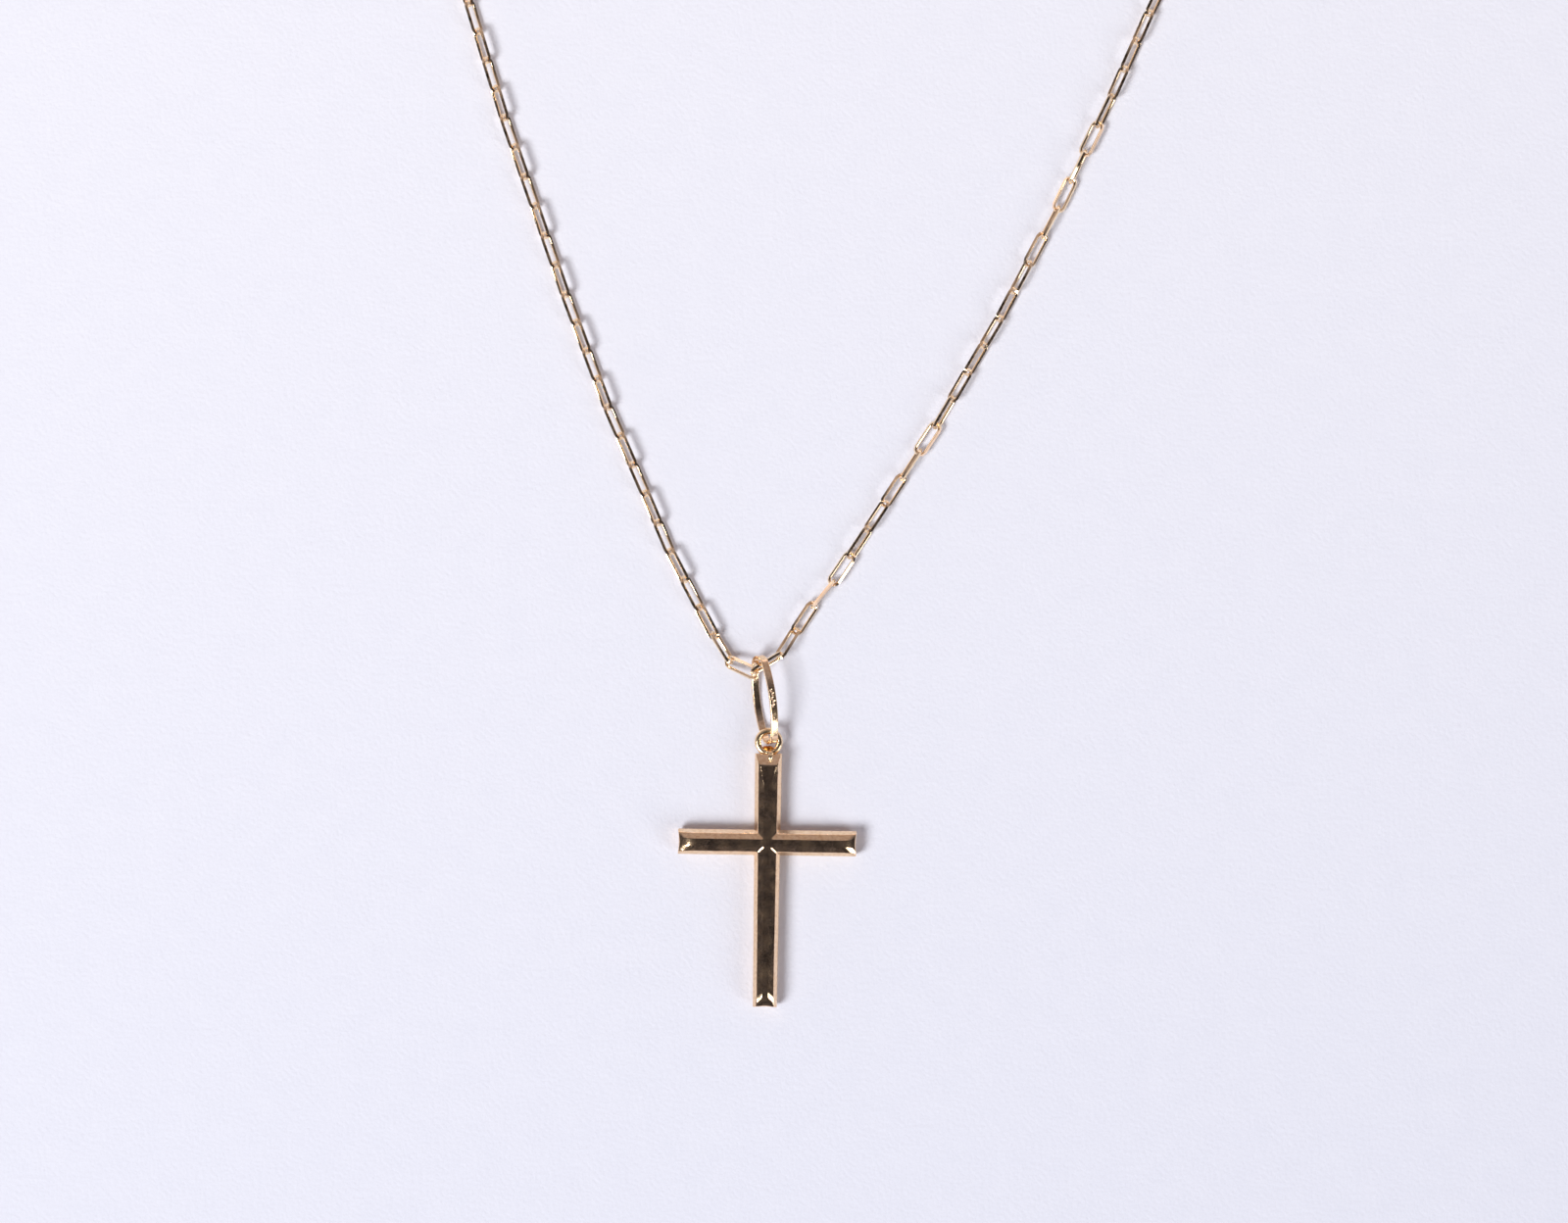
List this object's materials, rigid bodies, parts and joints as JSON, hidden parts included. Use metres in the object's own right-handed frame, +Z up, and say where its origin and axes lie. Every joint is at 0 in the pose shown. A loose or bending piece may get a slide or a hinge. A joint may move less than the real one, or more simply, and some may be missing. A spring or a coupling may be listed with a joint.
{
  "type": "cross pendant on a chain",
  "caption": "Polished cross pendant with a soldered ring and a long oval bail, on a fine cable chain that closes at the back, laid out flat.",
  "frame": {"origin": "on the table, under the middle of the whole loop", "axes": "+Y from the foot of the cross up to the clasp, +Z up from the table, +X to the right"},
  "size_m": [0.1078, 0.2136, 0.0029],
  "materials": {
    "gold": "polished"
  },
  "bodies": {
    "root": {"cross": "gold", "bail": "gold", "chain": "gold", "clasp": "gold"}
  },
  "joints": []
}
